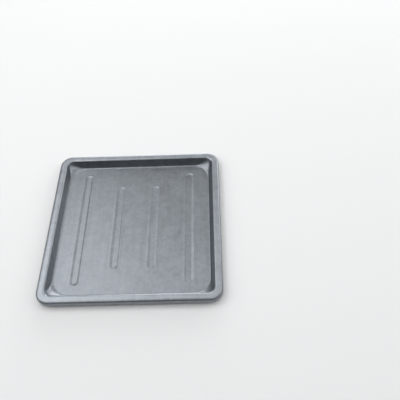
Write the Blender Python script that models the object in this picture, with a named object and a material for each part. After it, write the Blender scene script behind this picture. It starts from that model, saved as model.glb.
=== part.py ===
"""A shallow square drip pan of galvanised sheet steel.

The pan is one pressing.  Its floor has four long grooves, its walls lean
outwards, and its rim is turned over, turned down as a short skirt and curled
inwards round a steel wire.  The two pieces are the sheet and the wire.

Frame: +Z up, origin at the centre of the footprint, on the ground.
The pan stands on the flat undersides of its grooves, at z = 0.
All sizes are in metres and all angles in radians.
"""

import math

import bmesh
import bpy

# ---------------------------------------------------------------- dimensions
WIDTH = 0.559                       # outside of the rim, both ways: 22 inches
HEIGHT = 0.032                      # ground to the top of the rim
SHEET = 0.0010                      # thickness of the sheet
GAP = 0.0003                        # clearance between the sheet and the wire

RIM_CORNER = 0.042                  # plan radius of the rim's outside corner
RIM_OUTER_RADIUS = 0.010            # from the rim's flat top to its skirt
RIM_INNER_RADIUS = 0.006            # from the rim's flat top to the wall
RIM_FLAT = 0.010                    # width of the rim's flat top
SKIRT = 0.009                       # straight part of the turned-down skirt

WIRE_RADIUS = 0.003                 # wire in the curl
CURL_RADIUS = WIRE_RADIUS + 1.35 * GAP + SHEET    # the extra gap is for the curl's facets
CURL_WRAP = math.radians(290)       # how far the sheet goes round the wire
WIRE_BUTT_GAP = 0.002               # gap between the two ends of the wire

WALL_ANGLE = math.radians(68)       # wall, from horizontal
FLOOR_RADIUS = 0.005                # fillet between the wall and the floor
FLOOR_CORNER = 0.056                # plan radius of the floor's corner

GROOVE_DEPTH = 0.0015
GROOVE_WIDTH = 0.029                # across the top of a groove
GROOVE_FLAT = 0.013                 # across the bottom of a groove
GROOVE_PITCH = 0.1175               # between the centre lines of neighbours
OUTER_GROOVE_LENGTH = 0.422
INNER_GROOVE_LENGTH = 0.318

FLOOR_TOP = SHEET + GROOVE_DEPTH    # upper face of the floor
HALF = WIDTH / 2

# ---------------------------------------------------------------- resolution
CORNER_STEPS = 8                    # segments in each plan corner
BEND_STEPS = 3                      # segments in each bend of the profile
WALL_STEPS = 5                      # segments down the wall, for its corners
CURL_STEPS = 12                     # segments in the curl round the wire
GROOVE_END_STEPS = 6                # segments in each round end of a groove


def clear_scene():
    for item in list(bpy.data.objects):
        bpy.data.objects.remove(item, do_unlink=True)


def galvanised(name, colour, roughness):
    material = bpy.data.materials.new(name)
    material.use_nodes = True
    shader = material.node_tree.nodes["Principled BSDF"]
    shader.inputs["Base Color"].default_value = (*colour, 1.0)
    shader.inputs["Metallic"].default_value = 0.9
    shader.inputs["Roughness"].default_value = roughness
    return material


def arc(centre_in, centre_up, radius, start, end, steps):
    """Profile points on an arc, as (inset, height).  Angle 0 points inwards."""
    points = []
    for step in range(steps + 1):
        angle = start + (end - start) * step / steps
        points.append((centre_in + radius * math.cos(angle), centre_up + radius * math.sin(angle)))
    return points


def sheet_profile():
    """The visible face of the sheet, from the end of the curl to the floor's edge.

    Each point is (inset from the outside of the rim, height).
    """
    quarter = math.pi / 2
    shoulder_height = HEIGHT - RIM_OUTER_RADIUS
    curl_height = shoulder_height - SKIRT
    curl = arc(CURL_RADIUS, curl_height, CURL_RADIUS, math.pi + CURL_WRAP, math.pi, CURL_STEPS)
    shoulder = arc(RIM_OUTER_RADIUS, shoulder_height, RIM_OUTER_RADIUS, 2 * quarter, quarter, BEND_STEPS)

    lip_inset = RIM_OUTER_RADIUS + RIM_FLAT
    lip_height = HEIGHT - RIM_INNER_RADIUS
    lip = arc(lip_inset, lip_height, RIM_INNER_RADIUS, quarter, quarter - WALL_ANGLE, BEND_STEPS)

    wall_top = lip[-1]
    fillet_height = FLOOR_TOP + FLOOR_RADIUS
    wall_foot_height = fillet_height - FLOOR_RADIUS * math.cos(WALL_ANGLE)
    wall_run = (wall_top[1] - wall_foot_height) / math.tan(WALL_ANGLE)
    fillet_inset = wall_top[0] + wall_run + FLOOR_RADIUS * math.sin(WALL_ANGLE)
    fillet = arc(fillet_inset, fillet_height, FLOOR_RADIUS, -quarter - WALL_ANGLE, -quarter, BEND_STEPS)

    wall = []
    for step in range(1, WALL_STEPS):
        share = step / WALL_STEPS
        wall.append(tuple(top + (foot - top) * share for top, foot in zip(wall_top, fillet[0])))
    return curl + shoulder + lip + wall + fillet


def corner_radius(inset, height):
    """Plan radius of the corner at an inset and a height.

    The rim's bends keep the same corner centre.  Down the wall the radius grows,
    slowly and then quickly, so each corner of the pan is a soft bowl.
    """
    lip_inset = RIM_OUTER_RADIUS + RIM_FLAT
    if inset <= lip_inset:
        return RIM_CORNER - inset
    lip_corner = RIM_CORNER - lip_inset
    drop = (HEIGHT - height) / (HEIGHT - FLOOR_TOP)
    return lip_corner + (FLOOR_CORNER - lip_corner) * drop ** 3


def rounded_square(inset, radius):
    """Plan points of a square with round corners, anticlockwise from the right."""
    side = HALF - inset
    points = []
    for corner in range(4):
        turn = corner * math.pi / 2
        centre_x = (side - radius) * math.sqrt(2) * math.cos(turn + math.pi / 4)
        centre_y = (side - radius) * math.sqrt(2) * math.sin(turn + math.pi / 4)
        for step in range(CORNER_STEPS + 1):
            angle = turn + math.pi / 2 * step / CORNER_STEPS
            points.append((centre_x + radius * math.cos(angle), centre_y + radius * math.sin(angle)))
    return points


def groove_outline(centre_x, length, width):
    """Plan points of one groove, a slot with round ends, anticlockwise."""
    radius = width / 2
    end_y = length / 2 - radius
    points = []
    for side in (1, -1):
        for step in range(GROOVE_END_STEPS + 1):
            angle = math.pi * step / GROOVE_END_STEPS
            along = end_y + radius * math.sin(angle)
            points.append((centre_x + side * radius * math.cos(angle), side * along))
    return points


def add_loop(mesh, outline, height):
    return [mesh.verts.new((x, y, height)) for x, y in outline]


def add_band(mesh, outer, inner):
    """Joins two loops of the same length by a band of faces that look up and inwards."""
    for index in range(len(outer)):
        mesh.faces.new((outer[index - 1], outer[index], inner[index], inner[index - 1]))


def edges_of(loop):
    """The edges that run round a loop of vertices, in their order."""
    edges = []
    for index, vertex in enumerate(loop):
        before = loop[index - 1]
        edges += [edge for edge in vertex.link_edges if edge.other_vert(vertex) == before]
    return edges


def finish(name, mesh, material):
    data = bpy.data.meshes.new(name)
    mesh.to_mesh(data)
    mesh.free()
    piece = bpy.data.objects.new(name, data)
    bpy.context.scene.collection.objects.link(piece)
    data.materials.append(material)
    data.shade_smooth()
    data.set_sharp_from_angle(angle=math.radians(40))
    return piece


def make_pan_sheet():
    mesh = bmesh.new()
    loops = []
    for inset, height in sheet_profile():
        outline = rounded_square(inset, corner_radius(inset, height))
        loops.append(add_loop(mesh, outline, height))
    for outer, inner in zip(loops, loops[1:]):
        add_band(mesh, outer, inner)

    floor_edges = edges_of(loops[-1])
    for place in (-1.5, -0.5, 0.5, 1.5):
        centre_x = place * GROOVE_PITCH
        length = OUTER_GROOVE_LENGTH if abs(place) > 1 else INNER_GROOVE_LENGTH
        narrowing = GROOVE_WIDTH - GROOVE_FLAT
        top = add_loop(mesh, groove_outline(centre_x, length, GROOVE_WIDTH), FLOOR_TOP)
        bottom = add_loop(mesh, groove_outline(centre_x, length - narrowing, GROOVE_FLAT), SHEET)
        add_band(mesh, top, bottom)
        mesh.faces.new(bottom)
        floor_edges += edges_of(top)
    bmesh.ops.triangle_fill(mesh, edges=floor_edges, use_beauty=True, normal=(0, 0, 1))

    piece = finish("pan_sheet", mesh, galvanised("pan galvanised steel", (0.47, 0.48, 0.50), 0.42))
    wall = piece.modifiers.new("sheet thickness", "SOLIDIFY")
    wall.thickness = SHEET
    wall.offset = -1
    wall.use_even_offset = True
    return piece


def make_rim_wire():
    """The wire follows the curl all round, with its ends butted behind the pan."""
    radius = RIM_CORNER - CURL_RADIUS
    outline = rounded_square(CURL_RADIUS, radius)
    back_left = outline[CORNER_STEPS + 1:]
    back_right = outline[:CORNER_STEPS + 1]
    back_y = HALF - CURL_RADIUS
    route = [(-WIRE_BUTT_GAP / 2, back_y)] + back_left + back_right + [(WIRE_BUTT_GAP / 2, back_y)]
    height = HEIGHT - RIM_OUTER_RADIUS - SKIRT

    curve = bpy.data.curves.new("rim_wire", "CURVE")
    curve.dimensions = "3D"
    curve.bevel_depth = WIRE_RADIUS
    curve.bevel_resolution = 3
    curve.use_fill_caps = True
    spline = curve.splines.new("POLY")
    spline.points.add(len(route) - 1)
    for point, (x, y) in zip(spline.points, route):
        point.co = (x, y, height, 1)
    piece = bpy.data.objects.new("rim_wire", curve)
    bpy.context.scene.collection.objects.link(piece)
    curve.materials.append(galvanised("wire galvanised steel", (0.40, 0.41, 0.42), 0.5))
    return piece


clear_scene()
make_pan_sheet()
make_rim_wire()
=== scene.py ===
# %% [markdown]
# # A drip pan of galvanised sheet
#
# This lesson dresses a shallow square pan that catches oil under a machine.  The real one is
# a single pressing of zinc-coated steel sheet, with four long grooves in its floor, and a steel
# wire inside its rolled rim.  Two pieces are made here: the pressing and the wire.
#
# The design is already packed as a plain model, which gives every size and place.  It is loaded
# first, and its box gives the rim's size and height.

# %% Load the plain model
import math

import bpy
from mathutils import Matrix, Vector


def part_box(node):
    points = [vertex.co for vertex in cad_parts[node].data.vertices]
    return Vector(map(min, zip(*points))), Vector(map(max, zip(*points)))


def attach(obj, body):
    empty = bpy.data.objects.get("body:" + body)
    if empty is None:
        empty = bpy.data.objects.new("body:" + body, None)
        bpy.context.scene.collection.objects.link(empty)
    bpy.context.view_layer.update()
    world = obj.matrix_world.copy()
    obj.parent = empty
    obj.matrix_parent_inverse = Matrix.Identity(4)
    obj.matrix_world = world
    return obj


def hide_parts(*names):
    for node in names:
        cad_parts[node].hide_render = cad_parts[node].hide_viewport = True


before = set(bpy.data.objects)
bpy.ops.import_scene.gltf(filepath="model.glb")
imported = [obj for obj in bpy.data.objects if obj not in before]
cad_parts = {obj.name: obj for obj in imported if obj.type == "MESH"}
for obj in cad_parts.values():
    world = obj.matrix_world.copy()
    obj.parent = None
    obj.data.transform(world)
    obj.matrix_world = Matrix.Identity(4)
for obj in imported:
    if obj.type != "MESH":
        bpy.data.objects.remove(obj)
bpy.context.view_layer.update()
print("nodes:", sorted(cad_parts))

# %% [markdown]
# ## Helpers for working by hand
#
# In Blender an operator acts on whatever is selected, just as a tool acts on what is clamped in
# the vice.  Loading the plain model leaves its nodes selected, so everything is let go before a
# new piece is started.  A new piece begins as an empty mesh in edit mode, and when it is done it
# is smoothed everywhere but at its sharp edges.

# %% Start and end a piece
SMOOTH_BELOW = math.radians(40)


def start_piece(name):
    """Makes an empty mesh object and opens it in edit mode, with edges as the thing picked."""
    bpy.ops.object.select_all(action="DESELECT")
    piece = bpy.data.objects.new(name, bpy.data.meshes.new(name))
    bpy.context.scene.collection.objects.link(piece)
    bpy.context.view_layer.objects.active = piece
    piece.select_set(True)
    bpy.ops.object.mode_set(mode="EDIT")
    bpy.ops.mesh.select_mode(type="EDGE")
    return piece


def end_piece(piece):
    """Closes the mesh, smooths its bends and says how big it came out."""
    bpy.ops.object.mode_set(mode="OBJECT")
    bpy.ops.object.shade_smooth_by_angle(angle=SMOOTH_BELOW)
    bpy.context.view_layer.update()
    size = [round(side * 1000, 1) for side in piece.dimensions]
    print(f"{piece.name}: {len(piece.data.polygons)} faces, {size} mm")


# %% [markdown]
# ## The pressing's cross-section
#
# Every bend of a folded sheet is part of a circle, so the rim is described by walking along its
# section from the floor to the curl.  A point is an inset, measured inwards from the outside of
# the rim, and a height.  From the floor the sheet turns up through a small fillet, climbs the
# leaning wall, rolls over the rim, drops as a short skirt and wraps round the wire.
#
# It could be drawn as a curve and swept, but then every corner would be a plain sweep.  On the
# real pressing each corner is a soft bowl, because the wall leans further there than on the
# sides, and a list of points lets each height have its own corner radius.

# %% Sizes of the section
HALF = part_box("pan_sheet")[1].x     # centre to the outside of the rim
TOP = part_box("pan_sheet")[1].z      # ground to the top of the rim
SHEET = 0.0010                      # thickness of the sheet
WIRE_RADIUS = 0.003

RIM_CORNER = 0.042                  # plan radius of the rim's outside corner
RIM_OUTER_RADIUS = 0.010            # from the rim's flat top to its skirt
RIM_INNER_RADIUS = 0.006            # from the rim's flat top to the wall
RIM_FLAT = 0.010                    # width of the rim's flat top
RIM_FALL = 0.00015                  # how far that top falls inwards
SKIRT = 0.009                       # straight part of the skirt
CURL_RADIUS = 0.0044                # outside of the curl
CURL_WRAP = 290                     # degrees of sheet round the wire

LIP_STEPS, SHOULDER_STEPS, CURL_STEPS, FILLET_STEPS = 7, 9, 26, 6

WALL_LEAN = 68                      # degrees from level
FLOOR_RADIUS = 0.005                # fillet between the wall and the floor
FLOOR_CORNER = 0.056                # plan radius of the floor's corner
GROOVE_DEPTH = 0.0015
FLOOR_TOP = SHEET + GROOVE_DEPTH

print("rim:", round(HALF * 2000, 1), "mm across,", round(TOP * 1000, 1), "mm high")


# %% Walk along the section
def bend(inset, height, radius, start, end, steps):
    """Points round a bend.  Its centre is (inset, height); 0 degrees points inwards, 90 up."""
    points = []
    for step in range(steps + 1):
        turn = math.radians(start + (end - start) * step / steps)
        points.append((inset + radius * math.cos(turn), height + radius * math.sin(turn)))
    return points


lip_inset = RIM_OUTER_RADIUS + RIM_FLAT
shoulder_height = TOP - RIM_OUTER_RADIUS
curl_height = shoulder_height - SKIRT

lip_height = TOP - RIM_FALL - RIM_INNER_RADIUS
lip = bend(lip_inset, lip_height, RIM_INNER_RADIUS, 90 - WALL_LEAN, 90, LIP_STEPS)
shoulder = bend(RIM_OUTER_RADIUS, shoulder_height, RIM_OUTER_RADIUS, 90, 180, SHOULDER_STEPS)
curl = bend(CURL_RADIUS, curl_height, CURL_RADIUS, 180, 180 + CURL_WRAP, CURL_STEPS)

wall_top_inset, wall_top_height = lip[0]
lean = math.radians(WALL_LEAN)
fillet_height = FLOOR_TOP + FLOOR_RADIUS
wall_foot_height = fillet_height - FLOOR_RADIUS * math.cos(lean)
wall_run = (wall_top_height - wall_foot_height) / math.tan(lean)
floor_inset = wall_top_inset + wall_run + FLOOR_RADIUS * math.sin(lean)
fillet = bend(floor_inset, fillet_height, FLOOR_RADIUS, 270, 270 - WALL_LEAN, FILLET_STEPS)

WALL_STEPS = 10                     # rings up the wall, which shape its corners
foot, crest = Vector(fillet[-1]), Vector(lip[0])
wall = [tuple(foot.lerp(crest, step / WALL_STEPS)) for step in range(1, WALL_STEPS)]

section = fillet + wall + lip + shoulder + curl
print("section points:", len(section), " floor starts", round(floor_inset * 1000, 1), "mm in")


# %% [markdown]
# ## The floor and its grooves
#
# The floor is a flat square with round corners, and four slots with round ends are pressed into
# it.  Each outline starts as a plane whose corners are bevelled.  Filling between the outlines
# gives the flat sheet, and the slots keep faces of their own.
#
# A narrow flat collar runs round every outline.  Without it, smooth shading would bleed from a
# bend across the whole flat floor.

# %% Outlines with round corners
CORNER_STEPS = 20                   # segments in each round corner
COLLAR = 0.0015                     # width of the flat collars


def outline(width, length, corner, x, height, faced):
    """Adds a level rectangle with round corners, as a face or as a bare ring of edges."""
    bpy.ops.mesh.primitive_plane_add(size=width, location=(x, 0, height))
    bpy.ops.transform.resize(value=(1, length / width, 1), center_override=(x, 0, height))
    bpy.ops.mesh.bevel(affect="VERTICES", offset=corner, segments=CORNER_STEPS)
    if not faced:
        bpy.ops.mesh.delete(type="ONLY_FACE")


def corner_radius(inset, height):
    """Plan radius of a corner.  The rim's bends share a centre, and the wall opens out below."""
    if inset <= lip_inset:
        return RIM_CORNER - inset
    lip_corner = RIM_CORNER - lip_inset
    drop = (TOP - height) / (TOP - FLOOR_TOP)
    return lip_corner + (FLOOR_CORNER - lip_corner) * drop ** 3


# %% Lay out the floor
GROOVE_WIDTH = 0.029                # across the top of a groove
GROOVE_FLAT = 0.013                 # across its flat bottom
SWELL = 0.007                       # the sheet lifts a hair this far round a groove
TIP = 0.0018                        # short straight at a slot's tip, so that insets never pinch it
GROOVE_PLACES = [(-0.17625, 0.422), (-0.05875, 0.318), (0.05875, 0.318), (0.17625, 0.422)]

pressing = start_piece("pressed_sheet")
floor_width = 2 * (HALF - floor_inset - COLLAR)
collar_growth = 1 + 2 * COLLAR / floor_width
outline(floor_width, floor_width, FLOOR_CORNER / collar_growth, 0, FLOOR_TOP, faced=False)
margin = 2 * (SWELL + COLLAR)
for groove_x, groove_length in GROOVE_PLACES:
    width = GROOVE_WIDTH + margin
    corner = (width - TIP) / 2
    outline(width, groove_length + margin, corner, groove_x, FLOOR_TOP, faced=True)
bpy.ops.mesh.select_all(action="SELECT")
bpy.ops.mesh.fill(use_beauty=True)
bpy.ops.mesh.select_all(action="SELECT")
bpy.ops.mesh.normals_make_consistent(inside=False)

# %% [markdown]
# ## Pressing the grooves
#
# A press tool pushes the sheet down with soft shoulders, and the metal round it lifts a hair.
# Insetting the slot's face a little and moving it a little, again and again along a gentle
# S, draws both slopes.  The four slots are the only faces with many sides, so they are picked by
# their number of sides.


# %% Press the grooves
def press(run, drop, steps):
    """Insets the picked faces by run while they sink by drop, along a gentle S."""
    sunk = 0
    for step in range(1, steps + 1):
        target = drop * (1 - math.cos(math.pi * step / steps)) / 2
        bpy.ops.mesh.inset(thickness=run / steps, depth=sunk - target)
        sunk = target


SWELL_RISE = 0.0003                 # how high that swell is
SWELL_STEPS, SLOPE_STEPS = 5, 10

bpy.ops.mesh.select_mode(type="FACE")
bpy.ops.mesh.select_all(action="DESELECT")
bpy.ops.mesh.select_face_by_sides(number=8, type="GREATER", extend=False)
bpy.ops.mesh.inset(thickness=COLLAR, depth=0)
press(SWELL, -SWELL_RISE, SWELL_STEPS)
slope_run = (GROOVE_WIDTH - GROOVE_FLAT) / 2
press(slope_run, SWELL_RISE + GROOVE_DEPTH, SLOPE_STEPS)
bpy.ops.mesh.inset(thickness=COLLAR, depth=0)
bpy.ops.mesh.select_mode(type="EDGE")
print("grooves pressed", GROOVE_DEPTH * 1000, "mm deep")

# %% [markdown]
# ## Growing the wall and the rim
#
# The floor's edge is first pulled out level, as the outer collar.  The rest of the sheet grows from
# there, one ring at a time.  A bare ring is laid at the next point of the section.  The open edge
# of the sheet and that ring are then the only free edges, so picking all free edges always
# finds the right pair, and bridging joins them.
#
# Two rings at the same height can't be bridged safely, because Blender then has to guess which
# way round they run.  That is why the collar is pulled out, and why the rim's top falls a little.


# %% Grow the sheet along the section
def pick_free_edges():
    """Picks the edges that have one face or none."""
    bpy.ops.mesh.select_all(action="DESELECT")
    bpy.ops.mesh.select_non_manifold(
        extend=False, use_wire=True, use_boundary=True,
        use_multi_face=False, use_non_contiguous=False, use_verts=False,
    )


pick_free_edges()
bpy.ops.mesh.extrude_region_move()
bpy.ops.transform.resize(
    value=(collar_growth, collar_growth, 1), center_override=(0, 0, FLOOR_TOP)
)
for inset, height in section[1:]:
    ring_width = 2 * (HALF - inset)
    outline(ring_width, ring_width, corner_radius(inset, height), 0, height, faced=False)
    pick_free_edges()
    bpy.ops.mesh.bridge_edge_loops()
bpy.ops.mesh.select_all(action="SELECT")
bpy.ops.mesh.normals_make_consistent(inside=False)
bpy.ops.object.mode_set(mode="OBJECT")
floor_face = max(pressing.data.polygons, key=lambda face: face.area)
print("the widest floor face looks", "up" if floor_face.normal.z > 0 else "down")

# %% [markdown]
# ## Giving the sheet its thickness
#
# So far the piece is only the side that shows.  An open sheet has no inside, so the last cell
# printed which way its widest face looks.  Faces must look up from the floor and out from the
# skirt, because Solidify then adds the metal on the hidden side.  The even option keeps the
# sheet equally thick in the bends.

# %% Thicken the sheet
thicken = pressing.modifiers.new("sheet", "SOLIDIFY")
thicken.thickness = SHEET
thicken.offset = -1
thicken.use_even_offset = True
bpy.ops.object.modifier_apply(modifier=thicken.name)
end_piece(pressing)

# %% [markdown]
# ## The wire in the rim
#
# The rim is stiffened by a round wire, bent into a square hoop whose two ends meet in
# the middle of the back.  It is made as on a bending jig: a ring of edges is pulled out straight,
# spun round a corner, pulled out again, and capped at both ends.

# %% Bend the wire
WIRE_SIDES = 24
WIRE_JOINT = 0.002                  # gap between the two ends

hoop = start_piece("hoop_wire")
wire_half = HALF - CURL_RADIUS
wire_bend = RIM_CORNER - CURL_RADIUS
straight = wire_half - wire_bend
bpy.ops.mesh.primitive_circle_add(
    vertices=WIRE_SIDES, radius=WIRE_RADIUS, fill_type="NOTHING",
    location=(WIRE_JOINT / 2, wire_half, curl_height), rotation=(0, math.pi / 2, 0),
)
heading = Vector((1, 0, 0))
corner = Vector((straight, straight, curl_height))
pull = straight - WIRE_JOINT / 2
for corner_number in range(4):
    bpy.ops.mesh.extrude_region_move(TRANSFORM_OT_translate={"value": heading * pull})
    bpy.ops.mesh.spin(
        steps=CORNER_STEPS, angle=math.pi / 2, center=corner, axis=(0, 0, 1), dupli=False
    )
    heading = Vector((heading.y, -heading.x, 0))
    corner = Vector((corner.y, -corner.x, curl_height))
    pull = 2 * straight
bpy.ops.mesh.extrude_region_move(
    TRANSFORM_OT_translate={"value": heading * (straight - WIRE_JOINT / 2)}
)
bpy.ops.mesh.select_all(action="SELECT")
bpy.ops.mesh.remove_doubles(threshold=0.00001)
bpy.ops.mesh.select_non_manifold(extend=False, use_verts=False)
bpy.ops.mesh.fill_holes(sides=0)
bpy.ops.mesh.select_all(action="SELECT")
bpy.ops.mesh.normals_make_consistent(inside=False)
end_piece(hoop)

# %% [markdown]
# ## Shader sums in plain writing
#
# A finish is a network of small nodes, and most of them only add or multiply.  This class wraps
# what one node gives out, so that ordinary sums in Python add the Math nodes.  Every
# other node goes through one method: its kind, its settings, then a value or a link for each
# socket.


# %% A class for shader sums
class Shade:
    """What one shader node gives out.  Sums on it become Math nodes."""

    def __init__(self, tree, socket=None):
        self.tree = tree
        self.socket = socket

    def node(self, kind, settings, inputs, output=0):
        """Adds a node and returns one of its outputs."""
        new = self.tree.nodes.new(kind)
        for name, value in settings.items():
            setattr(new, name, value)
        for name, value in inputs.items():
            if isinstance(value, Shade):
                self.tree.links.new(value.socket, new.inputs[name])
            else:
                new.inputs[name].default_value = value
        return Shade(self.tree, new.outputs[output])

    def math(self, operation, first, second):
        return self.node("ShaderNodeMath", {"operation": operation}, {0: first, 1: second})

    def __add__(self, other):
        return self.math("ADD", self, other)

    def __radd__(self, other):
        return self.math("ADD", other, self)

    def __sub__(self, other):
        return self.math("SUBTRACT", self, other)

    def __rsub__(self, other):
        return self.math("SUBTRACT", other, self)

    def __mul__(self, other):
        return self.math("MULTIPLY", self, other)

    def __rmul__(self, other):
        return self.math("MULTIPLY", other, self)


# %% [markdown]
# ## Galvanised steel
#
# Zinc freezes on the steel in flat crystals, each a slightly different grey, so up close the
# sheet is mottled, and from further off it looks like one soft grey.  Over that lie softer
# clouds, where the zinc is thicker, and faint lines left by the rolling mill.  The top of the rim
# is painted a little brighter, as a painted sheen for the light that it catches.
#
# The crystals are Voronoi cells with bent borders, the clouds are noise, and the lines are noise
# squeezed along one axis.  All are read at the point's own place in metres, so their size is real.

# %% Mix the zinc finish
ZINC_DARK = (0.191, 0.205, 0.221, 1)
ZINC_LIGHT = (0.303, 0.325, 0.350, 1)
WIRE_DARK = (0.16, 0.17, 0.18, 1)
WIRE_LIGHT = (0.25, 0.26, 0.27, 1)
# The rim's top is painted brighter, a painted sheen standing in for the light it catches.
PAINTED_SHEEN = 0.22                          # how much brighter the rim's top is painted, as painted sheen
SHEEN_LOW, SHEEN_HIGH = TOP - 0.0035, TOP - 0.0015

SWAY = 0.007                        # how far the crystals' borders wander
SWAY_SCALE = 130                    # features in a metre, for each pattern
CRYSTAL_SCALE = 110
CLOUD_SCALE = 26
GRAIN_SCALE = 420
ROLLING_SCALE = (190.0, 5.0, 190.0)


def zinc_finish(name, dark, light, roughness):
    """A galvanised steel between two greys, with a painted sheen on the rim's top."""
    material = bpy.data.materials.new(name)
    material.use_nodes = True
    tree = material.node_tree
    shader = tree.nodes["Principled BSDF"]
    shader.inputs["Metallic"].default_value = 1.0
    zinc = Shade(tree)
    place = zinc.node("ShaderNodeTexCoord", {}, {}, "Object")

    def noise(vector, scale, detail, output):
        sockets = {"Vector": vector, "Scale": scale, "Detail": detail}
        return zinc.node("ShaderNodeTexNoise", {}, sockets, output)

    sway = noise(place, SWAY_SCALE, 2, "Color")
    bent_place = zinc.node(
        "ShaderNodeVectorMath", {"operation": "MULTIPLY_ADD"},
        {0: sway, 1: (SWAY, SWAY, SWAY), 2: place},
    )
    crystal_colour = zinc.node(
        "ShaderNodeTexVoronoi", {}, {"Vector": bent_place, "Scale": CRYSTAL_SCALE}, "Color"
    )
    crystal = zinc.node("ShaderNodeSeparateColor", {}, {"Color": crystal_colour}, "Red")
    cloud = noise(place, CLOUD_SCALE, 3, "Fac")
    grain = noise(place, GRAIN_SCALE, 2, "Fac")
    squeezed = zinc.node("ShaderNodeMapping", {}, {"Vector": place, "Scale": ROLLING_SCALE})
    rolling = noise(squeezed, 1, 2, "Fac")

    grey = crystal * 0.30 + cloud * 0.75 + grain * 0.35 + rolling * 0.45 - 0.43
    colour = zinc.node("ShaderNodeMix", {"data_type": "RGBA"}, {0: grey, 6: dark, 7: light}, 2)
    # Painted sheen: near the top of the rim the colour is painted up to 22% brighter, for the light
    # the rim catches.
    level = zinc.node("ShaderNodeSeparateXYZ", {}, {"Vector": place}, "Z")
    painted_sheen_mask = zinc.node(
        "ShaderNodeMapRange", {"interpolation_type": "SMOOTHSTEP"},
        {"Value": level, "From Min": SHEEN_LOW, "From Max": SHEEN_HIGH},
    )
    colour = zinc.node(
        "ShaderNodeVectorMath", {"operation": "SCALE"}, {0: colour, "Scale": 1 + painted_sheen_mask * PAINTED_SHEEN}
    )
    tree.links.new(colour.socket, shader.inputs["Base Color"])
    rough = roughness - 0.05 + cloud * 0.06 + crystal * 0.05
    tree.links.new(rough.socket, shader.inputs["Roughness"])
    relief = grain * 0.5 + cloud
    bump = zinc.node(
        "ShaderNodeBump", {}, {"Height": relief, "Strength": 0.15, "Distance": 0.001}, "Normal"
    )
    tree.links.new(bump.socket, shader.inputs["Normal"])
    return material


# %% Put the finishes on
sheet_finish = zinc_finish("galvanised_sheet_finish", ZINC_DARK, ZINC_LIGHT, 0.40)
wire_finish = zinc_finish("galvanised_wire_finish", WIRE_DARK, WIRE_LIGHT, 0.38)
pressing.data.materials.append(sheet_finish)
hoop.data.materials.append(wire_finish)
print("finishes:", sheet_finish.name, wire_finish.name)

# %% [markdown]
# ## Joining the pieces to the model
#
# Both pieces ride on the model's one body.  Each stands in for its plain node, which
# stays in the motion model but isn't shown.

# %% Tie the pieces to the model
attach(pressing, "root")
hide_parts("pan_sheet")
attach(hoop, "root")
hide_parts("rim_wire")

# %% [markdown]
# ## The studio
#
# The pan stands on a plain pale floor, wide enough to reach past every view.

# %% Lay the studio floor
bpy.ops.object.select_all(action="DESELECT")
FLOOR_REACH = 9
bpy.ops.mesh.primitive_circle_add(vertices=96, radius=FLOOR_REACH, fill_type="NGON")
studio_floor = bpy.context.object
studio_floor.name = "studio_floor"
paper = bpy.data.materials.new("pale_paper")
paper.use_nodes = True
paper_shader = paper.node_tree.nodes["Principled BSDF"]
paper_shader.inputs["Base Color"].default_value = (0.80, 0.80, 0.80, 1)
paper_shader.inputs["Roughness"].default_value = 0.9
paper_shader.inputs["Specular IOR Level"].default_value = 0.1
studio_floor.data.materials.append(paper)


# %% [markdown]
# ## The lamps
#
# Dull metal is as bright as what it mirrors, blurred.  From this camera the floor of the pan
# mirrors the upper back of the room, the left wall mirrors the right, and the right wall the
# left.  So the lamps are soft panels on a dome, each given by where it hangs: the turn from the
# back of the room towards the right, and the angle above the floor.  Most hang behind the pan,
# which leaves its far and right walls dark, and the low ones light the slopes that face away.
# The two in front round off the near edge of the rim.

# %% Hang the lamps
DOME_RADIUS = 4.0
LAMPS = [
    # name, turn, rise, width, height, how bright the panel itself looks
    ("low_back_panel", 0, 12, 2.6, 1.6, 5.08),
    ("low_back_right_panel", 45, 12, 2.6, 1.6, 3.29),
    ("back_panel", 0, 35, 2.2, 1.6, 0.84),
    ("right_panel", 90, 35, 2.2, 1.6, 2.68),
    ("left_panel", 270, 35, 2.2, 1.6, 2.90),
    ("back_left_panel", 315, 35, 2.2, 1.6, 0.45),
    ("high_left_panel", 270, 58, 1.7, 1.6, 1.80),
    ("high_back_left_panel", 315, 58, 1.7, 1.6, 2.80),
    ("high_back_right_panel", 45, 58, 1.7, 1.6, 1.70),
    ("overhead_panel", 0, 80, 1.9, 1.9, 1.30),
    ("high_front_right_panel", 135, 58, 1.7, 1.6, 2.40),
    ("high_front_left_panel", 225, 58, 1.7, 1.6, 2.40),
]


def hang_panel(name, turn, rise, width, height, brightness):
    """A rectangular lamp on the dome, facing the middle of the pan."""
    turn, rise = math.radians(turn), math.radians(rise)
    toward = Vector((
        math.sin(turn) * math.cos(rise), math.cos(turn) * math.cos(rise), math.sin(rise)
    ))
    bpy.ops.object.light_add(type="AREA", location=toward * DOME_RADIUS)
    lamp = bpy.context.object
    lamp.name = name
    lamp.rotation_euler = (-toward).to_track_quat("-Z", "Y").to_euler()
    lamp.data.shape = "RECTANGLE"
    lamp.data.size = width
    lamp.data.size_y = height
    lamp.data.energy = brightness * math.pi * width * height
    lamp.visible_camera = False


for lamp in LAMPS:
    hang_panel(*lamp)
print("lamps:", len(LAMPS))

world = bpy.data.worlds.new("studio_air")
bpy.context.scene.world = world
world.use_nodes = True
world.node_tree.nodes["Background"].inputs["Color"].default_value = (0.92, 0.96, 1.0, 1)
world.node_tree.nodes["Background"].inputs["Strength"].default_value = 0.15

# %% [markdown]
# ## The camera
#
# The camera looks down into the pan from in front and a little to the right, with a medium
# lens.

# %% Place the camera
camera_data = bpy.data.cameras.new("studio_camera")
camera = bpy.data.objects.new("studio_camera", camera_data)
bpy.context.scene.collection.objects.link(camera)
camera_data.lens = 43.2
camera_data.sensor_width = 36
camera.location = (0.2552, -0.8281, 1.3397)
camera.rotation_euler = [math.radians(angle) for angle in (34.556, 2.162, -0.463)]
bpy.context.scene.camera = camera
bpy.context.scene.view_settings.view_transform = "Standard"
